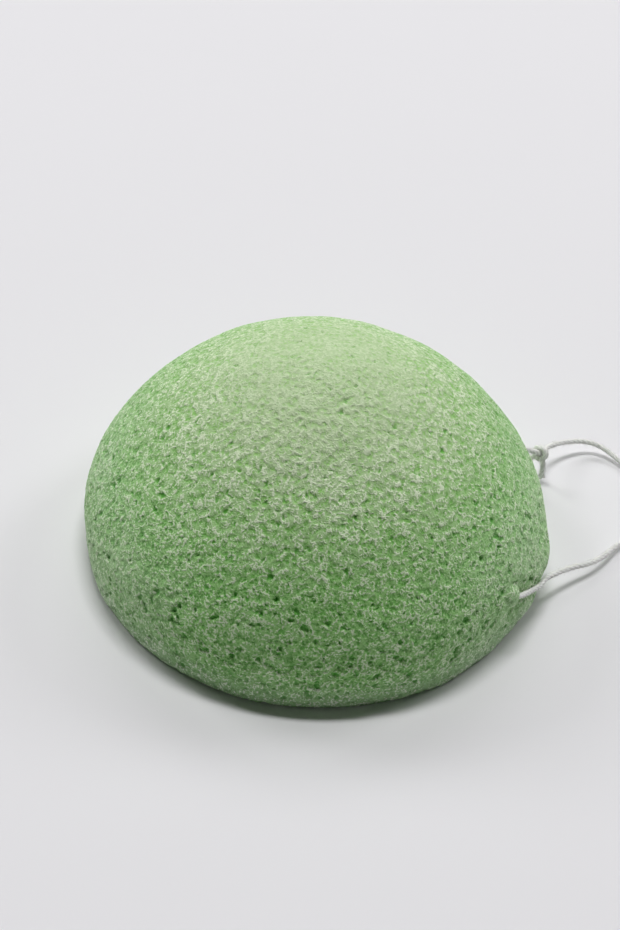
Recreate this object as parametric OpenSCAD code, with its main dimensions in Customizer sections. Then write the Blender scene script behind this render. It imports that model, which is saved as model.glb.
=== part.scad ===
// Half-ball konjac sponge with a cotton hanging loop threaded through its edge.
// Millimetres. The origin is the centre of the flat base, +Z goes up through the crown,
// +X points at the side that the loop comes out of.

/* [Sponge] */
// Diameter at the widest ring
sponge_d = 80; // [64:0.5:92]
// Height of the crown above the flat base
sponge_h = 41; // [30:0.5:52]
// Height of the widest ring above the flat base
rim_h = 8.1; // [5:0.1:12]
// How far the edge tucks in from the widest ring to the flat base
edge_tuck = 2; // [0.5:0.1:5]
// Fullness of the crown, from 1 for a cone to 2 for an ellipse
crown_fullness = 1.67; // [1.4:0.01:2]

/* [String] */
// Diameter of the twisted cotton string
string_d = 1; // [0.7:0.05:1.3]
// Room between the string and the channel that the needle left, on each side
channel_play = 0.1; // [0.05:0.01:0.2]
// Radius of the string's turn under the skin at the front mouth
turn_r = 2.5; // [2:0.1:4]
// Gap that lets the loop turn at the front mouth
mouth_gap = 0.45; // [0.4:0.05:0.6]
// Gap that lets the loop turn at the rear exit
exit_gap = 0.15; // [0.1:0.05:0.3]

/* [Pull marks in the foam] */
// Depth of the dimple at the front mouth
dimple_depth = 1.2; // [1:0.05:2]
// Radius of the ball that the dimple is a part of
dimple_r = 9; // [7:0.5:14]
// Width of the crease that the string lies in
crease_w = 3.2; // [2.6:0.1:4.4]
// Depth of the crease below the skin
crease_depth = 0.75; // [0.6:0.05:1.2]
// Length of the crease from the mouth
crease_l = 11; // [8:0.5:14]

/* [Knot] */
// Diameter over the knot's wraps
knot_d = 3.2; // [2.8:0.1:4.2]
// Number of wraps side by side
knot_wraps = 2; // [2:1:3]

/* [Hidden] */
$fn = 96;

crown_steps = 24;
edge_steps = 6;
string_sides = 8;
table_clearance = 0.1;
// The knot's core as a share of the wraps' total width, so that the outer wraps stay round
knot_core_share = 0.9;

// The loop's route from the rear exit, through the knot, round and back to the front mouth.
// Each x is measured from the widest ring, y from the sponge's middle and z from the table.
ROUTE = [
    [-4.0, 18.4, 9.0], [-3.3, 19.6, 8.5], [-2.3, 20.4, 7.7], [-1.2, 21.1, 6.8], [-0.1, 22.0, 5.9],
    [0.6, 23.4, 5.3], [1.6, 25.2, 4.7], [3.4, 27.2, 3.9], [5.7, 28.8, 3.2], [8.2, 29.8, 2.6],
    [10.5, 29.9, 2.1], [12.4, 29.2, 1.7], [13.9, 28.1, 1.3], [15.4, 26.7, 1.0], [17.6, 24.2, 0.7],
    [19.6, 21.2, 0.6], [20.9, 17.9, 0.6], [21.3, 14.4, 0.6], [20.5, 11.1, 0.6], [18.7, 8.5, 0.6],
    [16.5, 6.6, 0.8], [14.3, 4.8, 1.1], [12.7, 2.8, 1.4], [11.1, 0.5, 1.9], [8.9, -2.0, 2.5],
    [5.7, -4.3, 3.3], [3.0, -6.5, 4.0], [1.5, -8.0, 4.5], [0.2, -9.7, 5.1], [-0.8, -11.9, 5.6],
    [-2.3, -14.4, 6.8], [-3.9, -17.2, 8.4], [-5.3, -19.6, 10.0]
];
// The point of ROUTE that the knot is tied round
KNOT_AT = 4;
// The two cut ends, from inside the knot's wraps, beside the loop
HANGING_TAIL = [[0.3, 21.2, 5.1], [0.5, 20.9, 4.2], [0.6, 20.8, 2.8], [0.6, 20.8, 1.0]];
TUCKED_TAIL = [[-0.9, 22.1, 5.1], [-1.5, 22.5, 4.2], [-1.9, 22.7, 3.0]];

ring_r = sponge_d / 2;
base_r = ring_r - edge_tuck;
crown_h = sponge_h - rim_h;
string_r = string_d / 2;
channel_d = string_d + 2 * channel_play;
over = sponge_d / 20;

route = [for (p = ROUTE) placed(p)];
last = len(route) - 1;
rear_exit = route[0];
front_mouth = route[last];

// The string's turn lies in the plane of the rear exit, the front mouth and the crease
into_crease = unit(route[last - 1] - front_mouth);
chord = rear_exit - front_mouth;
inward = unit(chord - (chord * into_crease) * into_crease);
turn_centre = front_mouth + turn_r * inward;
turn_frame = frame(-inward, into_crease, turn_centre);
rear_in_turn = [turn_r - chord * inward, chord * into_crease];
turn_start = atan2(rear_in_turn.y, rear_in_turn.x) + acos(turn_r / norm(rear_in_turn));
straight_l = sqrt(norm(rear_in_turn) ^ 2 - turn_r ^ 2);
skin_normal = unit([front_mouth.x, front_mouth.y, 0]);

loop_path = [for (i = [0 : last])
    i == 0 ? rear_exit + exit_gap * unit(route[1] - rear_exit)
    : i == last ? front_mouth + mouth_gap * into_crease
    : route[i]];

function unit(v) = v / norm(v);
function placed(p) = [p.x + ring_r, p.y, max(p.z, string_r + table_clearance)];

// Rigid placing with the given x and y axes, square to each other, and origin
function frame(x, y, at) = let (z = cross(x, y))
    [[x.x, y.x, z.x, at.x], [x.y, y.y, z.y, at.y], [x.z, y.z, z.z, at.z], [0, 0, 0, 1]];

// Direction of travel at point i of a path
function heading(path, i) =
    unit(path[min(i + 1, len(path) - 1)] - path[max(i - 1, 0)]);

// One ring of the string's surface, square to the path, with its first corner away from "side"
function ring(path, i, side) =
    let (t = heading(path, i), u = unit(cross(t, side)), v = cross(u, t))
    [for (k = [0 : string_sides - 1]) let (a = 360 * k / string_sides)
        path[i] + string_r * (cos(a) * u + sin(a) * v)];

// Half outline of the sponge: flat base, tucked edge, then the crown up to the axis
function sponge_outline() = concat(
    [[0, 0]],
    [for (i = [0 : edge_steps - 1]) let (a = 90 * i / edge_steps)
        [base_r + edge_tuck * sin(a), rim_h * (1 - cos(a))]],
    [for (i = [0 : crown_steps]) let (a = 90 * i / crown_steps)
        [ring_r * max(cos(a), 0) ^ (2 / crown_fullness), rim_h + crown_h * sin(a) ^ (2 / crown_fullness)]]
);

// The string's way under the skin: straight from the rear exit, then the turn to the front mouth
module threaded_way(d, past_rear) {
    multmatrix(turn_frame) rotate([0, 0, turn_start]) {
        translate([turn_r, 0, 0])
            rotate([90, 0, 0])
                cylinder(d = d, h = straight_l + past_rear);
        rotate_extrude(angle = 360 - turn_start)
            translate([turn_r, 0])
                circle(d = d);
    }
}

// A tube of the string's size along a path
module string_along(path, side) {
    rings = len(path);
    corners = [for (i = [0 : rings - 1]) each ring(path, i, side)];
    walls = [for (i = [0 : rings - 2], k = [0 : string_sides - 1])
        let (a = i * string_sides + k, b = i * string_sides + (k + 1) % string_sides,
            c = b + string_sides, d = a + string_sides)
        each [[a, c, b], [a, d, c]]];
    ends = [[for (k = [0 : string_sides - 1]) k],
        [for (k = [string_sides - 1 : -1 : 0]) (rings - 1) * string_sides + k]];
    polyhedron(points = corners, faces = concat(walls, ends), convexity = 10);
}

// Groove that the pulled string presses into the edge, from the mouth towards the loop
module crease() {
    translate(front_mouth + (crease_w / 2 - crease_depth) * skin_normal)
        multmatrix(frame(-inward, into_crease, [0, 0, 0]))
            rotate([-90, 0, 0])
                translate([0, 0, -channel_d / 2])
                    cylinder(d = crease_w, h = crease_l + channel_d / 2);
}

module sponge_body() {
    color("darkseagreen")
        difference() {
            rotate_extrude() polygon(sponge_outline());
            threaded_way(channel_d, over);
            translate(front_mouth + (dimple_r - dimple_depth) * skin_normal) sphere(r = dimple_r);
            crease();
        }
}

module threaded_run() {
    color("ivory") threaded_way(string_d, 0);
}

module hanging_loop() {
    color("ivory") string_along(loop_path, [0, 0, 1]);
}

// Wraps of string side by side round the loop, on a core that fills them
module knot() {
    along = heading(route, KNOT_AT);
    across = unit(cross(along, [0, 0, 1]));
    wrap_r = (knot_d - string_d) / 2;
    color("ivory")
        multmatrix(frame(across, cross(along, across), route[KNOT_AT])) {
            for (i = [0 : knot_wraps - 1])
                translate([0, 0, (i - (knot_wraps - 1) / 2) * string_d])
                    rotate_extrude() translate([wrap_r, 0]) circle(d = string_d);
            cylinder(r = wrap_r, h = knot_core_share * knot_wraps * string_d, center = true);
        }
}

module hanging_tail() {
    color("ivory") string_along([for (p = HANGING_TAIL) placed(p)], [1, 0, 0]);
}

module tucked_tail() {
    color("ivory") string_along([for (p = TUCKED_TAIL) placed(p)], [1, 0, 0]);
}

sponge_body();
threaded_run();
hanging_loop();
knot();
hanging_tail();
tucked_tail();
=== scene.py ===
"""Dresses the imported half-ball konjac sponge: moulded foam, cotton string, camera and plain studio."""

import math

import bpy
import numpy as np
from mathutils import Matrix, Vector, kdtree, noise


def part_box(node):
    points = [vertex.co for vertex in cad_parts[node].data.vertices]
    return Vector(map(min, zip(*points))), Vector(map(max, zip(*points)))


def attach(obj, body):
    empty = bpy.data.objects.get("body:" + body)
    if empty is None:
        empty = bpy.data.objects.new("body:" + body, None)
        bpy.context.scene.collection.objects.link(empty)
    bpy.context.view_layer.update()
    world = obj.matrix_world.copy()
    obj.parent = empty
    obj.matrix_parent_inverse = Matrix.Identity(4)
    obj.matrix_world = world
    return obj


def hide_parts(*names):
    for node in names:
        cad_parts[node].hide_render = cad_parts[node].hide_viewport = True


bl_info = {
    "name": "Konjac Sponge",
    "version": (1, 0, 0),
    "blender": (4, 5, 0),
    "location": "View3D > Sidebar > Sponge",
    "description": "Builds a half-ball konjac sponge with its cotton hanging loop",
    "category": "Add Mesh",
}

MM = 0.001
PICTURE_H = 930

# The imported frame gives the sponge's overall sizes
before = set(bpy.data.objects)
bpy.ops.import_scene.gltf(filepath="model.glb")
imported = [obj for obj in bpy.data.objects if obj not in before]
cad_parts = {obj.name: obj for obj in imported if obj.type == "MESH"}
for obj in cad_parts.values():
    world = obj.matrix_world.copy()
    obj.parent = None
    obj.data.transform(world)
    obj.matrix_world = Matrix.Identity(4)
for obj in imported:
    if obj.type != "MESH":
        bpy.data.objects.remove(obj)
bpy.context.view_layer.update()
SPONGE_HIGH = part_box("sponge_body")[1]
RING_R = SPONGE_HIGH[0]
SPONGE_H = SPONGE_HIGH[2]

# Forms that the box doesn't give, as in the part's source, but for an edge that tucks in less
RIM_H = 8.1 * MM
EDGE_TUCK = 1.2 * MM
CROWN_FULLNESS = 1.67
STRING_D = 1.0 * MM
TURN_R = 2.5 * MM
DIMPLE_R = 9.0 * MM
DIMPLE_DEPTH = 1.2 * MM
CREASE_R = 1.6 * MM
CREASE_DEPTH = 0.75 * MM
CREASE_L = 11.0 * MM
KNOT_AT = 4

# The loop's route from the rear exit, through the knot, round and back to the front mouth
ROUTE = [Vector(point) for point in (
    (0.0360, 0.0184, 0.0090), (0.0367, 0.0196, 0.0085), (0.0377, 0.0204, 0.0077),
    (0.0388, 0.0211, 0.0068), (0.0399, 0.0220, 0.0059), (0.0406, 0.0234, 0.0053),
    (0.0416, 0.0252, 0.0047), (0.0434, 0.0272, 0.0039), (0.0457, 0.0288, 0.0032),
    (0.0482, 0.0298, 0.0026), (0.0505, 0.0299, 0.0021), (0.0524, 0.0292, 0.0017),
    (0.0539, 0.0281, 0.0013), (0.0554, 0.0267, 0.0010), (0.0576, 0.0242, 0.0007),
    (0.0596, 0.0212, 0.0006), (0.0609, 0.0179, 0.0006), (0.0613, 0.0144, 0.0006),
    (0.0605, 0.0111, 0.0006), (0.0587, 0.0085, 0.0006), (0.0565, 0.0066, 0.0008),
    (0.0543, 0.0048, 0.0011), (0.0527, 0.0028, 0.0014), (0.0511, 0.0005, 0.0019),
    (0.0489, -0.0020, 0.0025), (0.0457, -0.0043, 0.0033), (0.0430, -0.0065, 0.0040),
    (0.0415, -0.0080, 0.0045), (0.0402, -0.0097, 0.0051), (0.0392, -0.0119, 0.0056),
    (0.0377, -0.0144, 0.0068), (0.0361, -0.0172, 0.0084), (0.0347, -0.0196, 0.0100),
)]
HANGING_TAIL = [Vector(point) for point in (
    (0.0403, 0.0212, 0.0051), (0.0405, 0.0209, 0.0042), (0.0406, 0.0208, 0.0028),
    (0.0406, 0.0208, 0.0010),
)]
TUCKED_TAIL = [Vector(point) for point in (
    (0.0391, 0.0221, 0.0051), (0.0385, 0.0225, 0.0042), (0.0381, 0.0227, 0.0030),
)]
REAR_EXIT = ROUTE[0]
FRONT_MOUTH = ROUTE[-1]
INTO_CREASE = (ROUTE[-2] - FRONT_MOUTH).normalized()
MOUTH_OUT = Vector((FRONT_MOUTH.x, FRONT_MOUTH.y, 0)).normalized()


# Settings


def length_setting(name, description, default, least=0.0):
    """A length that the sidebar shows in the scene's unit."""
    return bpy.props.FloatProperty(
        name=name, description=description, default=default, min=least, precision=5,
        subtype="DISTANCE", unit="LENGTH")


def angle_setting(name, description, default):
    """An angle that the sidebar shows in degrees."""
    return bpy.props.FloatProperty(name=name, description=description, default=default, subtype="ANGLE")


def color_setting(name, description, default):
    """A colour that the sidebar shows as a swatch."""
    return bpy.props.FloatVectorProperty(
        name=name, description=description, default=default, min=0, max=1, subtype="COLOR")


class FoamSettings(bpy.types.PropertyGroup):
    """Sizes and colours of the moulded foam."""

    grain: length_setting("Grain", "Spacing of the foam's mesh points", 0.356 * MM, 0.2 * MM)
    cell: length_setting("Cell", "Spacing of the cells that the mesh forms", 1.35 * MM, 0.5 * MM)
    cell_depth: length_setting("Cell depth", "Depth of the cells low on the sponge", 0.30 * MM)
    pores: bpy.props.IntProperty(
        name="Pores", description="How many large torn pores are open in the skin", default=1400, min=0)
    # The wall colours are partly the pale cell walls and partly painted highlight on the crests
    wall_and_highlight_color: color_setting("Wall colour", "Colour of the pale cell walls", (0.87, 0.97, 0.73))
    rim_wall_and_highlight_color: color_setting(
        "Rim wall colour", "Colour of the cell walls at the bottom edge", (0.93, 0.98, 0.88))
    # The foam colour is the green low on the sponge, made darker and greener than the crown colour with
    # painted shade of the lower side
    low_foam_and_shade_color: color_setting(
        "Foam colour", "Colour of the foam between walls and pits", (0.32, 0.63, 0.20))
    crown_color: color_setting(
        "Crown colour", "Colour of the foam between walls and pits on the crown", (0.51, 0.66, 0.38))
    rim_color: color_setting("Rim colour", "Colour of the foam at the bottom edge", (0.42, 0.56, 0.37))
    # Painted sheen on the sponge's left and right sides, low down
    side_sheen_color: color_setting("Sheen colour", "Colour of the sheened foam low on the sides", (0.72, 0.86, 0.63))
    # The pit colours are painted shade in the small pits and dips, deeper low on the sponge than on the
    # crown
    pit_shade_color: color_setting("Pit colour", "Colour in the small pits", (0.10, 0.38, 0.04))
    crown_pit_shade_color: color_setting(
        "Crown pit colour", "Colour in the small pits on the crown", (0.30, 0.62, 0.15))
    # Painted shade deep in the torn pores
    pore_shade_color: color_setting("Pore colour", "Colour deep in the torn pores", (0.06, 0.38, 0.02))


class StringSettings(bpy.types.PropertyGroup):
    """Sizes and colour of the twisted cotton string."""

    plies: bpy.props.IntProperty(name="Plies", description="Plies twisted into the string", default=3, min=2)
    lay: length_setting("Lay", "Length in which a ply goes once round the string", 3.2 * MM, 1 * MM)
    hairs: bpy.props.FloatProperty(
        name="Hairs", description="Loose fibres for each millimetre of string", default=20, min=0)
    color: color_setting("Colour", "Colour of the cotton", (0.97, 0.965, 0.935))


class StageSettings(bpy.types.PropertyGroup):
    """Camera, floor, backdrop and fill light."""

    elevation: angle_setting("Elevation", "Camera's height angle above the floor", math.radians(42))
    roll: angle_setting("Roll", "Camera's turn about its own line of sight", math.radians(4.38))
    distance: length_setting("Distance", "Camera's distance from the point that it looks at", 0.45)
    target: bpy.props.FloatVectorProperty(
        name="Target", description="Point on the floor that the camera looks at",
        default=(-0.0015, 0.02051, 0), precision=5, subtype="TRANSLATION", unit="LENGTH")
    focal_px: bpy.props.FloatProperty(
        name="Focal length", description="Focal length in pixels of the picture", default=2472.4)
    floor_color: color_setting("Floor colour", "Colour of the plain floor", (0.82, 0.81, 0.835))
    back_color: color_setting(
        "Backdrop colour", "Colour seen behind and beyond the floor", (0.82, 0.82, 0.83))
    fill: bpy.props.FloatProperty(
        name="Fill light", description="Strength of the even light from all round", default=0.02, min=0)


# Curves and meshes


def lengths_along(path):
    """Length of the path up to each of its points."""
    return np.r_[0, np.cumsum(np.linalg.norm(np.diff(path, axis=0), axis=1))]


def path_length(path):
    """Length of the whole path."""
    return float(lengths_along(path)[-1])


def evenly(line, count):
    """That many points, evenly spaced along a line."""
    along = lengths_along(line)
    wanted = np.linspace(0, along[-1], count)
    return np.stack([np.interp(wanted, along, line[:, axis]) for axis in range(line.shape[1])], 1)


def spline(points, spacing):
    """Evenly spaced points along the smooth curve through the given ones."""
    knots = [2 * points[0] - points[1], *points, 2 * points[-1] - points[-2]]
    steps = 24
    fine = []
    for a, b, c, d in zip(knots, knots[1:], knots[2:], knots[3:]):
        for k in range(steps):
            t = k / steps
            fine.append(0.5 * (2 * b + (c - a) * t + (2 * a - 5 * b + 4 * c - d) * t ** 2
                               + (3 * b - a - 3 * c + d) * t ** 3))
    fine = np.array([*fine, points[-1]])
    return evenly(fine, max(3, round(path_length(fine) / spacing) + 1))


def unit(vectors):
    """The vectors, each drawn out to length 1."""
    return vectors / np.linalg.norm(vectors, axis=-1, keepdims=True)


def sides_along(path):
    """Two vectors square to the path at each of its points, turning as little as they can."""
    heading = unit(np.gradient(path, axis=0))
    first = np.cross(heading[0], (0.0, 0.0, 1.0))
    if np.linalg.norm(first) < 0.1:
        first = np.cross(heading[0], (1.0, 0.0, 0.0))
    across = np.empty_like(path)
    across[0] = unit(first)
    for i in range(1, len(path)):
        turned = across[i - 1] - heading[i] * (across[i - 1] @ heading[i])
        across[i] = unit(turned)
    return across, np.cross(heading, across)


def smooth_mesh(name, points, faces, **values):
    """A smooth-shaded mesh, with the values that its material reads at each point."""
    mesh = bpy.data.meshes.new(name)
    mesh.from_pydata(points, [], faces)
    mesh.update()
    for key, numbers in values.items():
        mesh.attributes.new(key, "FLOAT", "POINT").data.foreach_set("value", numbers)
    mesh.shade_smooth()
    return mesh


def linked(name, mesh, material):
    """A new object in the scene with that mesh and material."""
    piece = bpy.data.objects.new(name, mesh)
    mesh.materials.append(material)
    bpy.context.collection.objects.link(piece)
    return piece


# The twisted string

# A ply's thickness, how its end rounds off, and how it wanders about its place in the string
PLY_R = 0.31 * STRING_D
PLY_OFFSET = STRING_D / 2 - PLY_R
PLY_SIDES = 8
END_L = 0.35 * STRING_D
END_SHARE = 0.45
WANDER_SHARE = 0.05
WANDER_LAYS = 1.7

# Length before a cut end in which the plies open, and how far they open
FRAY_L = 1.4 * STRING_D
FRAY_SPLAY = 0.3 * MM

# Length between the plies' places in the pattern of fibres, so that no two look alike
FIBRE_SHIFT = 7.3 * MM

# Loose fibres: length, radius at root and tip, and the root's distance from the string's middle
HAIR_L = (0.21 * MM, 0.66 * MM)
HAIR_R = (0.017 * MM, 0.008 * MM)
HAIR_ROOT = 0.42 * STRING_D
HAIR_SIDES = 3
HAIR_STEPS = 5
SHORTEST_STEP = 0.01 * MM
FLOOR_GAP = 0.03 * MM

# How far a fibre rises, leans and bows, as shares of its length
HAIR_RISE = 0.35
HAIR_LEAN = 1.6
HAIR_SIDEWAYS = 1.0
HAIR_BOW_OUT = (0.1, 0.6)
HAIR_BOW_ASIDE = 0.6


class Strand:
    """Collects tubes and hairs of one piece of string into a single mesh."""

    def __init__(self):
        self.points = []
        self.faces = []
        self.along = []
        self.around = []
        self.count = 0

    def tube(self, path, radii, sides, start=0.0):
        """Adds a closed tube; start is the length of string before it."""
        across, up = sides_along(path)
        angle = 2 * math.pi * np.arange(sides) / sides
        spokes = across[:, None] * np.cos(angle)[None, :, None] + up[:, None] * np.sin(angle)[None, :, None]
        rings = path[:, None] + spokes * np.asarray(radii)[:, None, None]
        rows = len(path)
        for i in range(rows - 1):
            for k in range(sides):
                a = self.count + i * sides + k
                b = self.count + i * sides + (k + 1) % sides
                self.faces.append((a, b, b + sides, a + sides))
        self.faces.append(tuple(self.count + k for k in reversed(range(sides))))
        self.faces.append(tuple(self.count + (rows - 1) * sides + k for k in range(sides)))
        self.points.extend(rings.reshape(-1, 3).tolist())
        self.along.extend(np.repeat(start + lengths_along(path), sides).tolist())
        self.around.extend(np.tile(np.arange(sides) / sides, rows).tolist())
        self.count += rows * sides

    def object(self, name, material):
        """The collected tubes as one object."""
        mesh = smooth_mesh(name, self.points, self.faces, along=self.along, around=self.around)
        return linked(name, mesh, material)


def string_piece(name, path, settings, splay=0.0, seed=1, hairs=1.0):
    """A piece of string along a path. splay opens its plies at the far end, by that much."""
    strand = Strand()
    rng = np.random.default_rng(seed)
    across, up = sides_along(path)
    along = lengths_along(path)
    total = along[-1]
    opened = np.clip(1 - (total - along) / FRAY_L, 0, 1) ** 2 * splay
    from_end = np.clip(np.minimum(along, total - along) / END_L, 0, 1)
    taper = 1 - END_SHARE + END_SHARE * np.sqrt(1 - (1 - from_end) ** 2)
    for ply in range(settings.plies):
        turn = 2 * math.pi * (along / settings.lay + ply / settings.plies)
        phase = along / (WANDER_LAYS * settings.lay) + rng.random()
        wander = 1 + WANDER_SHARE * np.sin(2 * math.pi * phase)
        reach = (PLY_OFFSET * taper + opened) * wander
        out = across * np.cos(turn)[:, None] + up * np.sin(turn)[:, None]
        strand.tube(path + out * reach[:, None], PLY_R * taper * wander, PLY_SIDES, ply * FIBRE_SHIFT)
    loose_hairs(strand, path, across, up, round(hairs * settings.hairs * total / MM), rng)
    return strand.object(name, cotton(settings))


def loose_hairs(strand, path, across, up, count, rng):
    """Fine curled fibres that stand off the string."""
    heading = unit(np.gradient(path, axis=0))
    share = np.linspace(0, 1, HAIR_STEPS)[:, None]
    for _ in range(count):
        i = int(rng.integers(1, len(path) - 1))
        angle = rng.random() * 2 * math.pi
        out = across[i] * math.cos(angle) + up[i] * math.sin(angle)
        side = np.cross(heading[i], out)
        lean = heading[i] * rng.uniform(-HAIR_LEAN, HAIR_LEAN)
        lean += side * rng.uniform(-HAIR_SIDEWAYS, HAIR_SIDEWAYS)
        reach = rng.uniform(*HAIR_L)
        bow = out * rng.uniform(*HAIR_BOW_OUT) - side * rng.uniform(-HAIR_BOW_ASIDE, HAIR_BOW_ASIDE)
        curl = (out * HAIR_RISE + lean) * share + bow * share ** 2
        fibre = path[i] + out * HAIR_ROOT + curl * reach
        fibre[:, 2] = np.maximum(fibre[:, 2], FLOOR_GAP)
        if np.diff(lengths_along(fibre)).min() > SHORTEST_STEP:
            strand.tube(fibre, np.linspace(*HAIR_R, HAIR_STEPS), HAIR_SIDES)


# Shaders

# Places of the colour sockets among those of the Mix node
MIX_FACTOR = 0
MIX_FIRST = 6
MIX_SECOND = 7
MIX_RESULT = 2


class Value:
    """A socket of a shader whose arithmetic adds Math nodes."""

    def __init__(self, shader, socket):
        self.shader = shader
        self.socket = socket

    def maths(self, operation, *values):
        """One Math node with those values."""
        return self.shader.node("ShaderNodeMath", {"operation": operation}, dict(enumerate(values)))

    def __add__(self, other):
        return self.maths("ADD", self, other)

    def __sub__(self, other):
        return self.maths("SUBTRACT", self, other)

    def __rsub__(self, other):
        return self.maths("SUBTRACT", other, self)

    def __mul__(self, other):
        return self.maths("MULTIPLY", self, other)

    def __truediv__(self, other):
        return self.maths("DIVIDE", self, other)

    __radd__ = __add__
    __rmul__ = __mul__

    def size(self):
        """The value without its sign."""
        return self.maths("ABSOLUTE", self)

    def above(self, least):
        """The larger of this value and another."""
        return self.maths("MAXIMUM", self, least)

    def between(self, low, high):
        """0 at low, 1 at high, and a smooth step from one to the other."""
        settings = {"interpolation_type": "SMOOTHSTEP"}
        sockets = {"Value": self, "From Min": low, "From Max": high}
        return self.shader.node("ShaderNodeMapRange", settings, sockets, "Result")


class Shader:
    """The nodes of a material or of the world; surface names the shader that it starts with."""

    def __init__(self, owner, surface="Principled BSDF"):
        owner.use_nodes = True
        self.owner = owner
        self.tree = owner.node_tree
        self.surface = self.tree.nodes[surface]

    def node(self, kind, settings=None, sockets=None, output=0):
        """Adds a node with its settings, then with its sockets' values and links."""
        made = self.tree.nodes.new(kind)
        for name, value in (settings or {}).items():
            setattr(made, name, value)
        for name, value in (sockets or {}).items():
            self.feed(made.inputs[name], value)
        return Value(self, made.outputs[output])

    def feed(self, socket, value):
        """Links a value to a socket, or sets the socket to a plain number or colour."""
        if isinstance(value, Value):
            self.tree.links.new(value.socket, socket)
        else:
            socket.default_value = value

    def mix(self, factor, first, second):
        """Blends two colours: the first at factor 0, the second at 1."""
        first, second = (color if isinstance(color, Value) else (*color, 1) for color in (first, second))
        sockets = {MIX_FACTOR: factor, MIX_FIRST: first, MIX_SECOND: second}
        return self.node("ShaderNodeMix", {"data_type": "RGBA"}, sockets, MIX_RESULT)

    def attribute(self, name):
        """A value that the mesh keeps on its points."""
        return self.node("ShaderNodeAttribute", {"attribute_name": name}, None, "Fac")

    def here(self):
        """The place on the piece."""
        return self.node("ShaderNodeTexCoord", None, None, "Object")

    def axis(self, name):
        """One coordinate of the place on the piece."""
        return self.node("ShaderNodeSeparateXYZ", None, {0: self.here()}, name)

    def texture(self, kind, vector, spacing, output, **sockets):
        """A texture whose features are about that far apart."""
        return self.node(kind, None, {"Vector": vector, "Scale": 1 / spacing, **sockets}, output)

    def noise(self, spacing, detail):
        """Smooth noise from about 0.25 to 0.75."""
        return self.texture("ShaderNodeTexNoise", self.here(), spacing, "Fac", Detail=detail)

    def bump(self, height, distance):
        """The surface direction, bent by a height."""
        return self.node("ShaderNodeBump", None, {"Height": height, "Distance": distance}, "Normal")

    def cover(self, share, shown):
        """Shows another shader in place of the surface's own, by that share."""
        own = Value(self, self.surface.outputs[0])
        blend = self.node("ShaderNodeMixShader", None, {0: share, 1: own, 2: shown})
        output = next(node for node in self.tree.nodes if node.type.startswith("OUTPUT"))
        self.feed(output.inputs["Surface"], blend)

    def finish(self, **sockets):
        """Feeds the surface's own shader, and gives back the material or the world."""
        for name, value in sockets.items():
            self.feed(self.surface.inputs[name.replace("_", " ")], value)
        return self.owner


# Heights over which the foam's look changes, with painted shade growing towards the bottom, and the distance
# aside over which painted sheen covers the sides
LOW_BAND = (18 * MM, 40 * MM)
RIM_BAND = (1 * MM, 8 * MM)
CROWN_BAND = (31 * MM, 40 * MM)
SIDE_SHEEN_BAND = (10 * MM, 35 * MM)
SIDE_SHEEN_ASIDE = (14 * MM, 42 * MM)

# Spacings of the fine foam that the mesh is too coarse for and of the painted sheen's patches, and the depth
# of its relief
SWIRL = 0.7 * MM
SWIRL_REACH = 0.9 * MM
PIT = 0.95 * MM
FINE_WALL = 0.40 * MM
CROWN_WALL = 0.56 * MM
CURL = 0.62 * MM
LUMP = 0.9 * MM
MOTTLE = 5 * MM
SHEEN_PATCH = 9 * MM
RELIEF_DEPTH = 0.29 * MM

# A small pit's edge and its lip in spacings, and how strongly the curls stand out of their noise
PIT_EDGE = (0.22, 0.38)
PIT_LIP_AT = 0.42
PIT_LIP_SLOPE = 9
PIT_LIP_SHARE = 0.4
CURL_SLOPE = 7
LUMP_BAND = (0.44, 0.56)
# Band of noise in which the painted sheen on the sides comes in patches
SHEEN_PATCH_BAND = (0.3, 0.65)

# What each form adds to the relief or takes from it, and the bands of relief for the painted shade in the
# dips and for the pale walls, partly painted highlight, on the crests
WALL_RELIEF = 0.7
CURL_RELIEF = 0.18
LIP_RELIEF = 0.13
PIT_RELIEF = 0.20
CELL_RELIEF = 0.17
BASE_RELIEF = 0.05
DIP_SHADE_BAND = (0.18, 0.40)
CREST_HIGHLIGHT_BAND = (0.44, 0.53)

# How far the rim takes on its own colour, the sides their painted sheen and the torn pores their painted
# shade
RIM_SHARE = 0.4
RIM_WALL_SHARE = 0.7
SIDE_SHEEN_SHARE = 0.42
PORE_SHADE_SHARE = 0.5


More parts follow.
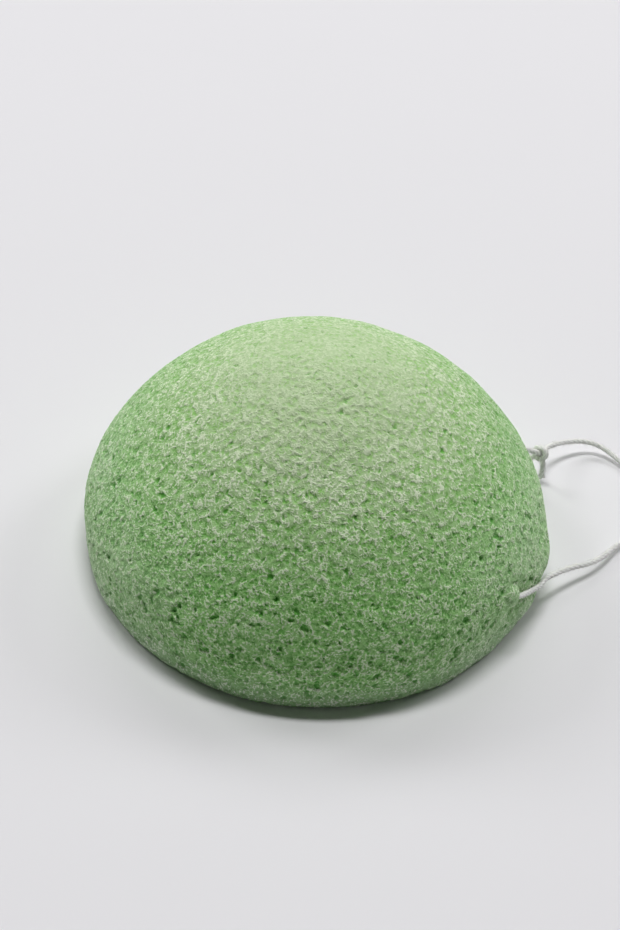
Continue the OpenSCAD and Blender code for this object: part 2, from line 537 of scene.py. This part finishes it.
def foam_material(settings):
    """Open foam: pale curled cell walls, partly painted highlight, round green pits with painted shade,
    smoother and paler towards the crown, darker low down with painted shade, and painted sheen on the sides.
    """
    shader = Shader(bpy.data.materials.new("open_foam"))
    height = shader.axis("Z")
    low = 1 - height.between(*LOW_BAND)
    rim = 1 - height.between(*RIM_BAND)
    crown = height.between(*CROWN_BAND)

    here = shader.here()
    swirl = shader.texture("ShaderNodeTexNoise", here, SWIRL, "Color", Detail=1.0)
    swirled = shader.node(
        "ShaderNodeVectorMath", {"operation": "MULTIPLY_ADD"}, {0: swirl, 1: (SWIRL_REACH,) * 3, 2: here})
    distance = shader.texture("ShaderNodeTexVoronoi", swirled, PIT, "Distance")
    small_pit = 1 - distance.between(*PIT_EDGE)
    small_lip = (1 - (distance - PIT_LIP_AT).size() * PIT_LIP_SLOPE).above(0)
    torn = shader.attribute("hollow")
    hollow = torn.above(0)
    lip = (0 - torn).above(0) + small_lip * PIT_LIP_SHARE

    fine = shader.noise(FINE_WALL, 1.0)
    walls = fine + (shader.noise(CROWN_WALL, 1.0) - fine) * (1 - low) * 0.8
    lumps = shader.noise(LUMP, 1.0).between(*LUMP_BAND)
    curls = (1 - (shader.noise(CURL, 0.0) - 0.5).size() * CURL_SLOPE).above(0) * lumps
    pit = small_pit * (0.55 + 0.35 * low) + hollow
    raised = walls * WALL_RELIEF + curls * CURL_RELIEF + lip * LIP_RELIEF
    relief = raised - pit * PIT_RELIEF + BASE_RELIEF - shader.attribute("depth") * CELL_RELIEF

    mottle = shader.noise(MOTTLE, 1.0) - 0.5
    # Painted shade in the dips: low relief darkens the colour towards the pit colours, less so on the crown
    dip_shade = 1 - (relief + mottle * 0.12).between(*DIP_SHADE_BAND)
    # Partly painted highlight: high relief pales the colour towards the wall colours
    crest_highlight = (relief + mottle * 0.08 + (1 - low) * 0.03).between(*CREST_HIGHLIGHT_BAND)
    pits = shader.mix(low, settings.crown_pit_shade_color, settings.pit_shade_color)
    # Partly the foam's green, partly painted shade of the lower side: the foam is darker and greener towards
    # the bottom
    green = shader.mix(low, settings.crown_color, settings.low_foam_and_shade_color)
    body = shader.mix(dip_shade * (0.9 - crown * 0.45), green, pits)
    edge = shader.mix(rim * RIM_SHARE, body, settings.rim_color)
    wall = shader.mix(rim * RIM_WALL_SHARE, settings.wall_and_highlight_color, settings.rim_wall_and_highlight_color)
    highlighted = shader.mix(crest_highlight * (0.87 - low * 0.14 + rim * 0.1 - crown * 0.6), edge, wall)

    # Painted sheen on the left and right sides, low down and in patches
    side = shader.axis("X").size().between(*SIDE_SHEEN_ASIDE) * 0.8 + 0.2
    sheen_patches = shader.noise(SHEEN_PATCH, 2.0).between(*SHEEN_PATCH_BAND) * 0.5 + 0.5
    side_sheen = side * (1 - height.between(*SIDE_SHEEN_BAND)) * sheen_patches
    with_side_sheen = shader.mix(side_sheen * SIDE_SHEEN_SHARE, highlighted, settings.side_sheen_color)
    # Painted shade deep in the torn pores
    color = shader.mix(hollow * PORE_SHADE_SHARE, with_side_sheen, settings.pore_shade_color)
    return shader.finish(
        Base_Color=color, Normal=shader.bump(relief, RELIEF_DEPTH), Roughness=0.85,
        Specular_IOR_Level=0.3, Sheen_Weight=0.15, Sheen_Roughness=0.35, Sheen_Tint=(0.92, 0.97, 0.9, 1))


# The cotton's slanted fibre streaks and its duller blotches, and how deep relief and light go
STREAK_L = 1.6 * MM
STREAK_SLANT_L = 0.35 * MM
STREAKS_AROUND = 9.0
BLOTCH = 1.8 * MM
BLOTCH_SHADE = 0.92
FIBRE_DEPTH = 0.05 * MM
GLOW_DEPTH = 0.3 * MM


def cotton_material(settings):
    """Twisted cotton: fine fibre streaks that run round each ply."""
    shader = Shader(bpy.data.materials.new("cotton"))
    along = shader.attribute("along")
    around = shader.attribute("around")
    streaks = shader.node("ShaderNodeCombineXYZ", None, {
        "X": along / STREAK_L + around, "Y": around * STREAKS_AROUND + along / STREAK_SLANT_L})
    fibre = shader.node("ShaderNodeTexNoise", None, {"Vector": streaks, "Scale": 2.4, "Detail": 3.0}, "Fac")
    dull = shader.noise(BLOTCH, 2.0)
    shade = tuple(channel * BLOTCH_SHADE for channel in settings.color)
    color = shader.mix(fibre.between(0.35, 0.62) * 0.6 + dull * 0.5, shade, settings.color)
    return shader.finish(
        Base_Color=color, Normal=shader.bump(fibre, FIBRE_DEPTH), Roughness=0.9, Sheen_Weight=0.4,
        Sheen_Roughness=0.5, Subsurface_Weight=0.25, Subsurface_Radius=(1.0, 0.97, 0.9),
        Subsurface_Scale=GLOW_DEPTH)


def cotton(settings):
    """The one material of all the string, made when the first piece of it asks."""
    return bpy.data.materials.get("cotton") or cotton_material(settings)


# The foam

# Fixed seeds, so that the foam comes out the same each time
RING_SEED = 5
BEND_SEED = 7
PORE_SEED = 11

# Points that the side's outline is drawn through, from the base's edge to the ring and on to the crown
OUTLINE_POINTS = 400

# The flat base has few rings, whose points stand wider apart towards its middle
BASE_RINGS = 14
BASE_SPREAD = 0.6
BASE_COARSENESS = 9

# How far the string's pull reaches: along the crease, round the mouth and round the rear exit
CREASE_START = 1.0 * MM
CREASE_END = 2.5 * MM
DIMPLE_START = 1.8 * MM
EXIT_PULL = 0.7 * MM
EXIT_R = 1.3 * MM
PULL_SMOOTHINGS = 5
TAUT_FROM = 0.3 * MM

# The skin over the string just before the mouth: its thickness, width and stretch of string
COVER = 0.2 * MM
COVER_WIDTH = 4.5 * MM
COVER_FROM = 0.8 * MM
COVER_TO = 8 * MM
COVER_REACH = 9 * MM

# Soft lumps beside the front mouth: angle in degrees, height, half width, half height and rise
SWELLS = (
    (-9.5, 7.6 * MM, 5.5 * MM, 3.0 * MM, 1.25 * MM),
    (-19, 3.5 * MM, 4.5 * MM, 2.2 * MM, 0.8 * MM),
)

# The skin's soft unevenness: length and height of its broad and its narrow waves
BROAD_WAVE = 17 * MM
BROAD_RISE = 0.35 * MM
NARROW_WAVE = 5 * MM
NARROW_RISE = 0.16 * MM

# Height above which the foam is finest, the cells' crookedness, and their radius in spacings
COARSE_H = 34 * MM
CELL_BEND = 0.35 * MM
CELL_BEND_L = 1.1 * MM
CELL_SHARE = 0.55

# Torn pores: crookedness, the heights that they lie between, and how often they come on the crown
PORE_BEND = 0.32 * MM
PORE_BEND_L = 0.9 * MM
PORE_FROM = 0.6 * MM
PORE_FULL = 5 * MM
PORE_TOP = 38 * MM
CROWN_PORES = 0.28

# A torn pore's radius, larger low on the sponge, its stretch, and in radii its depth, reach and lip
PORE_R = 0.27 * MM
PORE_GROWTH = 0.10 * MM
LOW_PORE_GROWTH = 0.30 * MM
PORE_STRETCH = (0.1, 0.45)
PORE_DEPTH = (0.7, 1.2)
PORE_STEEPNESS = 1.6
PORE_REACH = 1.9
LIP_AT = 1.25
LIP_WIDTH = 0.4
LIP_RISE = 0.06 * MM


def meridian(grain):
    """Evenly spaced (radius, height) points from the base's edge over the widest ring to the crown."""
    angle = np.linspace(0, math.pi / 2, OUTLINE_POINTS)
    edge_r = RING_R - EDGE_TUCK + EDGE_TUCK * np.sin(angle)
    edge_z = RIM_H * (1 - np.cos(angle))
    crown_r = RING_R * np.clip(np.cos(angle), 0, 1) ** (2 / CROWN_FULLNESS)
    crown_z = RIM_H + (SPONGE_H - RIM_H) * np.sin(angle) ** (2 / CROWN_FULLNESS)
    line = np.stack([np.r_[edge_r, crown_r[1:]], np.r_[edge_z, crown_z[1:]]], 1)
    row_h = grain * math.sqrt(3) / 2
    return evenly(line, round(path_length(line) / row_h) + 1)


def rounds(grain):
    """Rings of evenly spread points over the whole skin, from the middle of the base to the crown."""
    dome = meridian(grain)
    base_r = dome[0, 0]
    rings = []
    for share in np.linspace(0, 1, BASE_RINGS + 1)[1:-1] ** BASE_SPREAD:
        spacing = grain * (BASE_COARSENESS - (BASE_COARSENESS - 1) * share)
        rings.append((base_r * share, 0.0, max(8, round(2 * math.pi * base_r * share / spacing))))
    for radius, height in dome[:-1]:
        rings.append((radius, height, max(6, round(2 * math.pi * radius / grain))))
    return rings


def stitched(rings):
    """Points and triangles of rings of unlike counts, closed at the base's middle and at the crown."""
    rng = np.random.default_rng(RING_SEED)
    points = [(0.0, 0.0, 0.0)]
    starts = []
    turns = []
    for radius, height, count in rings:
        phase = rng.random() / count
        turn = (np.arange(count) / count + phase) % 1.0
        turn.sort()
        starts.append(len(points))
        turns.append(turn)
        angle = 2 * math.pi * turn
        points.extend(zip(radius * np.cos(angle), radius * np.sin(angle), np.full(count, height)))
    top = len(points)
    points.append((0.0, 0.0, SPONGE_H))
    faces = []
    first = len(turns[0])
    faces.extend((0, 1 + (k + 1) % first, 1 + k) for k in range(first))
    for below, above, low_turn, high_turn in zip(starts, starts[1:], turns, turns[1:]):
        faces.extend(strip(below, above, low_turn, high_turn))
    count = len(turns[-1])
    faces.extend((starts[-1] + k, starts[-1] + (k + 1) % count, top) for k in range(count))
    return np.array(points), faces


def strip(below, above, low_turn, high_turn):
    """Triangles between two rings, joined in the order of their angles."""
    lows = len(low_turn)
    highs = len(high_turn)
    i = j = 0
    while i < lows or j < highs:
        low_next = low_turn[(i + 1) % lows] + (i + 1) // lows
        high_next = high_turn[(j + 1) % highs] + (j + 1) // highs
        if j >= highs or (i < lows and low_next <= high_next):
            yield below + i % lows, below + (i + 1) % lows, above + j % highs
            i += 1
        else:
            yield below + i % lows, above + (j + 1) % highs, above + j % highs
            j += 1


def outward(points):
    """The smooth form's outward direction at each point, with the flat base's downward one."""
    radius = np.linalg.norm(points[:, :2], axis=1)
    height = points[:, 2]
    rise = np.clip((height - RIM_H) / (SPONGE_H - RIM_H), 1e-4, 1)
    reach = np.clip(radius / RING_R, 1e-4, 1)
    upper = np.stack([CROWN_FULLNESS * reach ** (CROWN_FULLNESS - 1) / RING_R,
                      CROWN_FULLNESS * rise ** (CROWN_FULLNESS - 1) / (SPONGE_H - RIM_H)], 1)
    inset = np.clip((radius - (RING_R - EDGE_TUCK)) / EDGE_TUCK, 0, 1)
    lower = np.stack([inset / EDGE_TUCK, -np.clip(RIM_H - height, 0, RIM_H) / RIM_H ** 2], 1)
    flat = unit(np.where((height > RIM_H)[:, None], upper, lower) + 1e-9)
    facing = points[:, :2] / np.maximum(radius, 1e-9)[:, None]
    normals = np.c_[facing * flat[:, :1], flat[:, 1]]
    normals[height <= 0] = (0, 0, -1)
    return normals


def sampled(function, points):
    """A number for each point."""
    return np.fromiter((function(Vector(p)) for p in points), float, len(points))


def pull_marks(points, normals):
    """How far the string pulls the skin in: along its crease, at its mouth and at its exit."""
    middle = np.array(FRONT_MOUTH + (CREASE_R - CREASE_DEPTH) * MOUTH_OUT)
    line = np.array(INTO_CREASE)
    gap = points - middle
    along = gap @ line
    inward = -normals
    square_gap = gap - np.outer(along, line)
    square_in = inward - np.outer(inward @ line, line)
    crease = leave(square_gap, square_in, CREASE_R)
    crease *= np.clip((along + CREASE_START) / CREASE_START, 0, 1)
    crease *= np.clip((CREASE_L - along) / CREASE_END, 0, 1)
    ball = points - np.array(FRONT_MOUTH + (DIMPLE_R - DIMPLE_DEPTH) * MOUTH_OUT)
    dimple = leave(ball, inward, DIMPLE_R) * np.clip((along + DIMPLE_START) / DIMPLE_START, 0, 1)
    exit_gap = np.linalg.norm(points - np.array(REAR_EXIT), axis=1)
    return np.maximum(crease, dimple) + EXIT_PULL * np.exp(-(exit_gap / EXIT_R) ** 2)


def leave(offset, direction, radius):
    """Distance along a direction to where it leaves the round of that radius, or 0 outside it."""
    a = (direction ** 2).sum(1)
    b = (offset * direction).sum(1)
    c = (offset ** 2).sum(1) - radius ** 2
    root = b ** 2 - a * c
    inside = c < 0
    return np.where(inside, (-b + np.sqrt(np.maximum(root, 0))) / np.maximum(a, 1e-9), 0)


def cover_over_run(points, normals):
    """How far the skin must stand out to hide the string where it turns just below the mouth."""
    path = threaded_path()
    before_mouth = path_length(path) - lengths_along(path)
    cover = np.full(len(points), -1.0)
    near = np.linalg.norm(points - np.array(FRONT_MOUTH), axis=1) < COVER_REACH
    for place in path[(COVER_FROM < before_mouth) & (before_mouth < COVER_TO)]:
        gap = place - points[near]
        above = (gap * normals[near]).sum(1)
        aside = (gap ** 2).sum(1) - above ** 2
        hill = above + STRING_D / 2 + COVER - aside / COVER_WIDTH
        cover[near] = np.maximum(cover[near], hill)
    return cover


def swell(points, azimuth, height, width, tall, rise):
    """A soft lump on the side, at that angle in degrees and that height."""
    radius = np.linalg.norm(points[:, :2], axis=1)
    angle = np.arctan2(points[:, 1], points[:, 0]) - math.radians(azimuth)
    angle = (angle + math.pi) % (2 * math.pi) - math.pi
    return rise * np.exp(-(angle * radius / width) ** 2 - ((points[:, 2] - height) / tall) ** 2)


def evened(values, faces, smoothings):
    """Values on points, each drawn towards its neighbours'."""
    triangles = np.array(faces)
    pairs = np.r_[triangles[:, [0, 1]], triangles[:, [1, 2]], triangles[:, [2, 0]]]
    share = np.bincount(pairs[:, 0], minlength=len(values))
    for _ in range(smoothings):
        around = np.bincount(pairs[:, 0], weights=values[pairs[:, 1]], minlength=len(values)) / share
        values = 0.5 * values + 0.5 * around
    return values


def lowness(points):
    """1 at the floor, falling to 0 where the foam is finest."""
    return np.clip(1 - points[:, 2] / COARSE_H, 0, 1)


def bent(points, bend, spacing):
    """The points moved about by smooth noise, in which round cells become crooked ones."""
    noise.seed_set(BEND_SEED)
    return points + bend * np.array([noise.noise_vector(Vector(p) / spacing) for p in points])


def waves(points):
    """The skin's soft unevenness."""
    shift = Vector((3, 1, 7))
    return (BROAD_RISE * sampled(lambda p: noise.noise(p / BROAD_WAVE), points)
            + NARROW_RISE * sampled(lambda p: noise.noise(p / NARROW_WAVE + shift), points))


def cells(points, spacing):
    """How deep each point lies in its cell: 0 on the wall, 1 in the middle."""
    crooked = bent(points, CELL_BEND, CELL_BEND_L)
    from_middle = sampled(lambda p: noise.voronoi(p / spacing)[0][0], crooked)
    return np.clip(1 - (from_middle / CELL_SHARE) ** 2, 0, 1)


def open_pores(points, count):
    """Torn pores: how deep each point lies in one, and 1 in the open hollow to -1 on its raised lip."""
    rng = np.random.default_rng(PORE_SEED)
    crooked = bent(points, PORE_BEND, PORE_BEND_L)
    tree = kdtree.KDTree(len(crooked))
    for index, point in enumerate(crooked):
        tree.insert(point, index)
    tree.balance()
    height = points[:, 2]
    low = lowness(points)
    often = CROWN_PORES + np.clip(1 - height / PORE_TOP, 0, 1)
    chance = np.clip((height - PORE_FROM) / PORE_FULL, 0, 1) * often
    depth = np.zeros(len(points))
    hollow = np.zeros(len(points))
    for index in rng.choice(len(points), size=count, replace=False, p=chance / chance.sum()):
        radius = PORE_R + (PORE_GROWTH + LOW_PORE_GROWTH * low[index]) * rng.random() ** 3
        deep = radius * rng.uniform(*PORE_DEPTH)
        stretch = rng.normal(size=3)
        stretch *= rng.uniform(*PORE_STRETCH) / np.linalg.norm(stretch)
        near = np.array([found for _, found, _ in tree.find_range(crooked[index], PORE_REACH * radius)])
        gap = crooked[near] - crooked[index]
        gap -= np.outer(gap @ stretch, stretch) / np.linalg.norm(stretch)
        reach = np.linalg.norm(gap, axis=1) / radius
        inner = np.clip(1 - reach ** 2, 0, 1)
        lip = np.clip(1 - np.abs(reach - LIP_AT) / LIP_WIDTH, 0, 1)
        depth[near] = np.maximum(depth[near], deep * inner ** 0.5)
        opened = np.maximum(hollow[near], np.minimum(1, PORE_STEEPNESS * inner))
        raised = np.where(hollow[near] > 0, hollow[near], np.minimum(hollow[near], -lip))
        hollow[near] = np.where(inner > 0, opened, raised)
    return depth, hollow


def foam_mesh(settings):
    """The whole skin: the moulded form with its waves, cells, pores, pull marks and swells."""
    points, faces = stitched(rounds(settings.grain))
    normals = outward(points)
    side = points[:, 2] > 0
    pulled = evened(pull_marks(points, normals), faces, PULL_SMOOTHINGS)
    taut = np.clip(pulled / TAUT_FROM, 0, 1)
    sinks = cells(points, settings.cell)
    cell_depth = settings.cell_depth * (0.55 + 0.45 * lowness(points)) * sinks
    pore_depth, hollow = open_pores(points, settings.pores)
    lips = LIP_RISE * np.clip(-hollow, 0, 1)
    rise = waves(points) * (1 - taut) - pulled - cell_depth - pore_depth + lips
    for form in SWELLS:
        rise += swell(points, *form)
    rise = np.maximum(rise, cover_over_run(points, normals) - 0.5 * cell_depth)
    skin = points + normals * np.where(side, rise, 0)[:, None]
    skin[:, 2] = np.maximum(skin[:, 2], 0)
    return smooth_mesh("foam", skin.tolist(), faces, hollow=np.where(side, hollow, 0), depth=sinks)


# The string's paths

# Spacing of the points along each piece of string
STRING_STEP = 0.25 * MM
TAIL_STEP = 0.15 * MM
KNOT_STEP = 0.22 * MM
CORD_STEP = 0.8 * MM

# The knot's wraps round the loop's line: radius, total width, slant and unevenness
WRAPS = 2.35
WRAP_R = 1.06 * MM
WRAPS_WIDTH = 1.15 * MM
WRAP_SLANT = 0.22 * MM
WRAP_WANDER = 0.05 * MM

# How many points the turn, the straight run before it and the knot's wraps are drawn through
TURN_POINTS = 14
RUN_POINTS = 12
WRAP_POINTS = 34


def threaded_path():
    """Straight from the rear exit, then round the turn under the skin to the front mouth."""
    chord = REAR_EXIT - FRONT_MOUTH
    inward = (chord - chord.dot(INTO_CREASE) * INTO_CREASE).normalized()
    centre = FRONT_MOUTH + TURN_R * inward
    rear_x = TURN_R - chord.dot(inward)
    rear_y = chord.dot(INTO_CREASE)
    start = math.atan2(rear_y, rear_x) + math.acos(TURN_R / math.hypot(rear_x, rear_y))
    turn = [centre - math.cos(a) * TURN_R * inward + math.sin(a) * TURN_R * INTO_CREASE
            for a in np.linspace(start, 2 * math.pi, TURN_POINTS)]
    straight = [REAR_EXIT.lerp(turn[0], share) for share in np.linspace(0, 1, RUN_POINTS)[:-1]]
    return spline([*straight, *turn], STRING_STEP)


def knot_path():
    """Wraps round the loop's line, tilted a little, from one cut end to the other."""
    centre = ROUTE[KNOT_AT]
    line = (ROUTE[KNOT_AT + 1] - ROUTE[KNOT_AT - 1]).normalized()
    across = HANGING_TAIL[0] - centre
    across = (across - across.dot(line) * line).normalized()
    up = line.cross(across)
    points = []
    for share in np.linspace(0, 1, WRAP_POINTS):
        angle = 2 * math.pi * WRAPS * share
        radius = WRAP_R + WRAP_WANDER * math.sin(3 * angle)
        shift = (share - 0.5) * WRAPS_WIDTH + WRAP_SLANT * math.sin(angle + 0.6)
        points.append(centre + line * shift + radius * (math.cos(angle) * across + math.sin(angle) * up))
    return spline(points, KNOT_STEP)


# Operators


class KONJAC_OT_camera(bpy.types.Operator):
    """Sets the camera at the angle that the sponge is seen from"""

    bl_idname = "konjac.camera"
    bl_label = "Camera"

    def execute(self, context):
        settings = context.scene.konjac_stage
        ahead = Vector((0, math.cos(settings.elevation), -math.sin(settings.elevation)))
        level = Vector((1, 0, 0))
        upright = level.cross(ahead)
        right = math.cos(settings.roll) * level + math.sin(settings.roll) * upright
        up = right.cross(ahead)
        camera = bpy.data.objects.new("camera", bpy.data.cameras.new("camera"))
        camera.data.sensor_width = 36
        camera.data.lens = settings.focal_px * camera.data.sensor_width / PICTURE_H
        camera.data.clip_start = 0.01
        place = Vector(settings.target) - settings.distance * ahead
        turn = Matrix((right, up, -ahead)).transposed().to_4x4()
        camera.matrix_world = Matrix.Translation(place) @ turn
        context.collection.objects.link(camera)
        context.scene.camera = camera
        return {"FINISHED"}


class KONJAC_OT_hanging_loop(bpy.types.Operator):
    """Builds the loose loop of twisted cotton string"""

    bl_idname = "konjac.hanging_loop"
    bl_label = "Hanging loop"

    def execute(self, context):
        path = spline(ROUTE, STRING_STEP)
        loop = string_piece("loop_string", path, context.scene.konjac_string, seed=3)
        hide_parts("hanging_loop")
        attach(loop, "loop")
        return {"FINISHED"}


class KONJAC_OT_threaded_run(bpy.types.Operator):
    """Builds the length of string that runs inside the foam"""

    bl_idname = "konjac.threaded_run"
    bl_label = "Threaded run"

    def execute(self, context):
        run = string_piece("run_string", threaded_path(), context.scene.konjac_string, seed=4, hairs=0)
        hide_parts("threaded_run")
        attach(run, "sponge")
        return {"FINISHED"}


class KONJAC_OT_knot(bpy.types.Operator):
    """Builds the knot's wraps"""

    bl_idname = "konjac.knot"
    bl_label = "Knot"

    def execute(self, context):
        knot = string_piece("knot_wraps", knot_path(), context.scene.konjac_string, seed=5)
        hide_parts("knot")
        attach(knot, "loop")
        return {"FINISHED"}


class KONJAC_OT_tails(bpy.types.Operator):
    bl_idname = "konjac.tails"
    bl_label = "Cut ends"

    def execute(self, context):
        settings = context.scene.konjac_string
        for name, node, points, seed in (("tail_hanging", "hanging_tail", HANGING_TAIL, 6),
                                         ("tail_tucked", "tucked_tail", TUCKED_TAIL, 7)):
            path = spline(points, TAIL_STEP)
            tail = string_piece(name, path, settings, splay=FRAY_SPLAY, seed=seed, hairs=2.5)
            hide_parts(node)
            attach(tail, "loop")
        path = spline(ROUTE, CORD_STEP)
        return {"FINISHED"}


class KONJAC_OT_sponge(bpy.types.Operator):
    """Builds the half ball of foam with its cells, pores and pull marks"""

    bl_idname = "konjac.sponge"
    bl_label = "Sponge"

    def execute(self, context):
        settings = context.scene.konjac_foam
        foam = linked("foam", foam_mesh(settings), foam_material(settings))
        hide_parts("sponge_body")
        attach(foam, "sponge")
        return {"FINISHED"}


# The floor's half width, the spacing of its faint stains, and where it fades into the backdrop
FLOOR_REACH = 4.0
FLOOR_STAIN = 0.05
STAIN_SHARE = 0.985
FADE_FROM = 0.25
FADE_TO = 1.2

# Each lamp's name, place, width and depth, and power; all point at the sponge
LAMPS = (
    ("key", (0.0, 0.365, 1.966), (0.82, 0.20), 20.6),
    ("back", (0.0, 1.414, 1.414), (1.2, 0.4), 5.6),
    ("back_left", (-1.291, 0.904, 1.231), (0.64, 0.64), 9.4),
    ("back_right", (1.291, 0.904, 1.231), (0.64, 0.64), 7.9),
)


class KONJAC_OT_stage(bpy.types.Operator):
    """Lays the plain floor and sets the soft studio lamps"""

    bl_idname = "konjac.stage"
    bl_label = "Stage"

    def execute(self, context):
        settings = context.scene.konjac_stage
        self.floor(settings)
        context.scene.world = self.world(settings)
        for lamp in LAMPS:
            self.lamp(*lamp)
        context.scene.view_settings.view_transform = "Standard"
        return {"FINISHED"}

    @staticmethod
    def floor(settings):
        """A plain floor that fades into the backdrop's colour where the camera sees it far off."""
        mesh = bpy.data.meshes.new("floor")
        corners = [(x * FLOOR_REACH, y * FLOOR_REACH, 0) for x, y in ((-1, -1), (1, -1), (1, 1), (-1, 1))]
        mesh.from_pydata(corners, [], [(0, 1, 2, 3)])
        shader = Shader(bpy.data.materials.new("floor"))
        pale = tuple(settings.floor_color)
        dim = tuple(channel * STAIN_SHARE for channel in pale)
        stained = shader.mix(shader.noise(FLOOR_STAIN, 3.0), dim, pale)
        floor = linked("floor", mesh, shader.finish(Base_Color=stained, Roughness=0.6))
        distance = shader.node("ShaderNodeVectorMath", {"operation": "LENGTH"}, {0: shader.here()}, "Value")
        seen = shader.node("ShaderNodeLightPath", None, None, "Is Camera Ray")
        haze = shader.node("ShaderNodeEmission", None, {"Color": (*settings.back_color, 1)})
        shader.cover(distance.between(FADE_FROM, FADE_TO) * seen, haze)

    @staticmethod
    def world(settings):
        """A faint even light, and the backdrop's colour for what is seen or mirrored."""
        shader = Shader(bpy.data.worlds.new("studio"), "Background")
        camera, glossy, through = (
            shader.node("ShaderNodeLightPath", None, None, f"Is {kind} Ray")
            for kind in ("Camera", "Glossy", "Transmission"))
        backdrop = shader.node("ShaderNodeBackground", None, {"Color": (*settings.back_color, 1)})
        shader.cover(camera.above(glossy).above(through), backdrop)
        return shader.finish(Color=(1, 1, 1, 1), Strength=settings.fill)

    @staticmethod
    def lamp(name, place, size, power):
        """A soft rectangular lamp that points at the sponge."""
        lamp = bpy.data.objects.new(name, bpy.data.lights.new(name, "AREA"))
        lamp.data.shape = "RECTANGLE"
        lamp.data.size, lamp.data.size_y = size
        lamp.data.energy = power
        lamp.location = place
        lamp.rotation_euler = (-Vector(place)).to_track_quat("-Z", "Y").to_euler()
        bpy.context.collection.objects.link(lamp)


class KONJAC_PT_sidebar(bpy.types.Panel):
    """Lists the sponge's settings and the operators that build it"""

    bl_label = "Konjac Sponge"
    bl_space_type = "VIEW_3D"
    bl_region_type = "UI"
    bl_category = "Sponge"

    def draw(self, context):
        for name in SETTINGS:
            box = self.layout.box()
            group = getattr(context.scene, name)
            for key in group.bl_rna.properties.keys():
                if key not in ("rna_type", "name"):
                    box.prop(group, key)
        for operator in OPERATORS:
            self.layout.operator(operator.bl_idname)


SETTINGS = {"konjac_foam": FoamSettings, "konjac_string": StringSettings, "konjac_stage": StageSettings}
OPERATORS = (KONJAC_OT_camera, KONJAC_OT_hanging_loop, KONJAC_OT_knot, KONJAC_OT_tails,
             KONJAC_OT_threaded_run, KONJAC_OT_sponge, KONJAC_OT_stage)


def register():
    for name, group in SETTINGS.items():
        bpy.utils.register_class(group)
        setattr(bpy.types.Scene, name, bpy.props.PointerProperty(type=group))
    for operator in OPERATORS:
        bpy.utils.register_class(operator)
    bpy.utils.register_class(KONJAC_PT_sidebar)


def unregister():
    bpy.utils.unregister_class(KONJAC_PT_sidebar)
    for operator in reversed(OPERATORS):
        bpy.utils.unregister_class(operator)
    for name, group in SETTINGS.items():
        delattr(bpy.types.Scene, name)
        bpy.utils.unregister_class(group)


def main():
    register()
    for operator in OPERATORS:
        group, call = operator.bl_idname.split(".")
        getattr(getattr(bpy.ops, group), call)()


if __name__ == "__main__":
    main()
